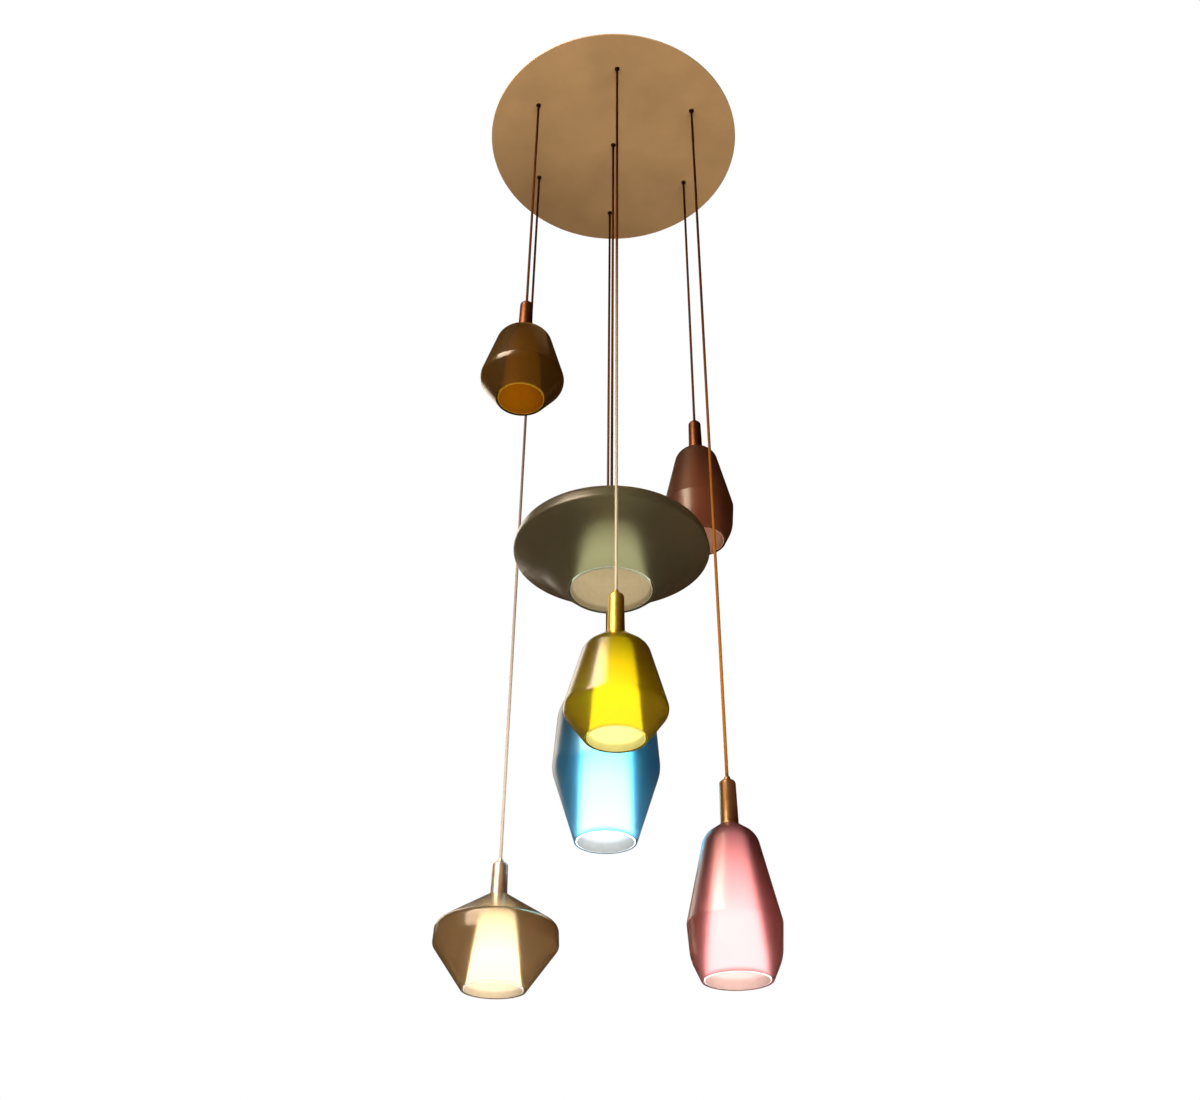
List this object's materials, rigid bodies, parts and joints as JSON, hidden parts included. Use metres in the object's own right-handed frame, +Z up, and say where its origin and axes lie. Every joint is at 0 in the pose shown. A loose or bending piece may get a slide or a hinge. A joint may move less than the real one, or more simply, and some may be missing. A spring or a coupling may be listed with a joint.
{
  "type": "cluster pendant light",
  "caption": "Round ceiling canopy with tinted double-glass pendants hung at stepped heights on straight cords; each swings on its cord and turns about it.",
  "frame": {"origin": "centre of the ceiling face of the ceiling pan", "axes": "+Z up to the ceiling; the six ring cords stand at 30 degrees to +X and every 60 degrees from there"},
  "size_m": [0.5999, 0.6143, 2.098],
  "materials": {
    "canopy_paint": "satin tan-gold paint, slightly mottled",
    "zinc_sheet": "bare zinc-plated sheet",
    "screw_steel": "plated steel",
    "bush_bronze": "dark bronze, satin",
    "lead_sheath": "smooth white sheath",
    "block_plastic": "moulded, matt",
    "earth_brass": "turned brass",
    "grommet_rubber": "moulded rubber",
    "cord_textile": "braided bronze-brown textile with a soft sheen",
    "stem_brass": "satin turned brass",
    "stem_champagne": "satin champagne-plated brass",
    "holder_ceramic": "unglazed white",
    "lamp_opal": "frosted, lit",
    "diffuser_satin": "satin, acid etched, lit from inside",
    "glass_pink": "rose tinted clear glass, polished",
    "glass_russet": "red-brown tinted clear glass, polished",
    "glass_blue": "petrol blue tinted clear glass, polished",
    "glass_amber": "champagne amber tinted clear glass, polished",
    "glass_brown": "dark brown tinted clear glass, polished",
    "glass_yellow": "yellow tinted clear glass, polished",
    "glass_olive": "olive grey tinted clear glass, polished"
  },
  "bodies": {
    "canopy": {"canopy_disc": "canopy_paint", "ceiling_pan": "zinc_sheet", "side_screws": "screw_steel", "outlet_bushes": "bush_bronze", "bush_nuts": "screw_steel", "cord_stops": "screw_steel", "inner_leads": "lead_sheath", "terminal_block": "block_plastic", "block_screws": "screw_steel", "earth_terminal": "earth_brass", "supply_grommet": "grommet_rubber"},
    "pink_line": {"pink_cord": "cord_textile"},
    "pink_head": {"pink_stem": "stem_brass", "pink_cord_grip": "stem_brass", "pink_lampholder": "holder_ceramic", "pink_lamp": "lamp_opal", "pink_diffuser": "diffuser_satin", "pink_shade": "glass_pink"},
    "russet_line": {"russet_cord": "cord_textile"},
    "russet_head": {"russet_stem": "stem_brass", "russet_cord_grip": "stem_brass", "russet_lampholder": "holder_ceramic", "russet_lamp": "lamp_opal", "russet_diffuser": "diffuser_satin", "russet_shade": "glass_russet"},
    "blue_line": {"blue_cord": "cord_textile"},
    "blue_head": {"blue_stem": "stem_brass", "blue_cord_grip": "stem_brass", "blue_lampholder": "holder_ceramic", "blue_lamp": "lamp_opal", "blue_diffuser": "diffuser_satin", "blue_shade": "glass_blue"},
    "amber_line": {"amber_cord": "cord_textile"},
    "amber_head": {"amber_stem": "stem_champagne", "amber_cord_grip": "stem_champagne", "amber_lampholder": "holder_ceramic", "amber_lamp": "lamp_opal", "amber_diffuser": "diffuser_satin", "amber_shade": "glass_amber"},
    "brown_line": {"brown_cord": "cord_textile"},
    "brown_head": {"brown_stem": "stem_brass", "brown_cord_grip": "stem_brass", "brown_lampholder": "holder_ceramic", "brown_lamp": "lamp_opal", "brown_diffuser": "diffuser_satin", "brown_shade": "glass_brown"},
    "yellow_line": {"yellow_cord": "cord_textile"},
    "yellow_head": {"yellow_stem": "stem_brass", "yellow_cord_grip": "stem_brass", "yellow_lampholder": "holder_ceramic", "yellow_lamp": "lamp_opal", "yellow_diffuser": "diffuser_satin", "yellow_shade": "glass_yellow"},
    "olive_line": {"olive_cord": "cord_textile"},
    "olive_head": {"olive_stem": "stem_brass", "olive_cord_grip": "stem_brass", "olive_lampholder": "holder_ceramic", "olive_lamp": "lamp_opal", "olive_diffuser": "diffuser_satin", "olive_shade": "glass_olive"}
  },
  "joints": [
    {"name": "pink_swing", "type": "hinge", "parent": "canopy", "child": "pink_line", "pos_m": [0.1836, -0.106, -0.049], "axis": [0.866, -0.5, 0], "range_deg": [-10, 10]},
    {"name": "pink_turn", "type": "hinge", "parent": "pink_line", "child": "pink_head", "pos_m": [0.1836, -0.106, -1.783], "axis": [0, 0, 1], "range_deg": [-180, 180]},
    {"name": "russet_swing", "type": "hinge", "parent": "canopy", "child": "russet_line", "pos_m": [0.1836, 0.106, -0.049], "axis": [0.866, 0.5, 0], "range_deg": [-10, 10]},
    {"name": "russet_turn", "type": "hinge", "parent": "russet_line", "child": "russet_head", "pos_m": [0.1836, 0.106, -0.852], "axis": [0, 0, 1], "range_deg": [-180, 180]},
    {"name": "blue_swing", "type": "hinge", "parent": "canopy", "child": "blue_line", "pos_m": [0, 0.212, -0.049], "axis": [0, 1, 0], "range_deg": [-10, 10]},
    {"name": "blue_turn", "type": "hinge", "parent": "blue_line", "child": "blue_head", "pos_m": [0, 0.212, -1.364], "axis": [0, 0, 1], "range_deg": [-180, 180]},
    {"name": "amber_swing", "type": "hinge", "parent": "canopy", "child": "amber_line", "pos_m": [-0.1836, 0.106, -0.049], "axis": [-0.866, 0.5, 0], "range_deg": [-10, 10]},
    {"name": "amber_turn", "type": "hinge", "parent": "amber_line", "child": "amber_head", "pos_m": [-0.1836, 0.106, -1.849], "axis": [0, 0, 1], "range_deg": [-180, 180]},
    {"name": "brown_swing", "type": "hinge", "parent": "canopy", "child": "brown_line", "pos_m": [-0.1836, -0.106, -0.049], "axis": [-0.866, -0.5, 0], "range_deg": [-10, 10]},
    {"name": "brown_turn", "type": "hinge", "parent": "brown_line", "child": "brown_head", "pos_m": [-0.1836, -0.106, -0.721], "axis": [0, 0, 1], "range_deg": [-180, 180]},
    {"name": "yellow_swing", "type": "hinge", "parent": "canopy", "child": "yellow_line", "pos_m": [0, -0.212, -0.049], "axis": [0, -1, 0], "range_deg": [-10, 10]},
    {"name": "yellow_turn", "type": "hinge", "parent": "yellow_line", "child": "yellow_head", "pos_m": [0, -0.212, -1.502], "axis": [0, 0, 1], "range_deg": [-180, 180]},
    {"name": "olive_swing", "type": "hinge", "parent": "canopy", "child": "olive_line", "pos_m": [0, 0, -0.049], "axis": [0, 1, 0], "range_deg": [-0.8, 0.8]},
    {"name": "olive_turn", "type": "hinge", "parent": "olive_line", "child": "olive_head", "pos_m": [0, 0, -1.127], "axis": [0, 0, 1], "range_deg": [-180, 180]}
  ]
}
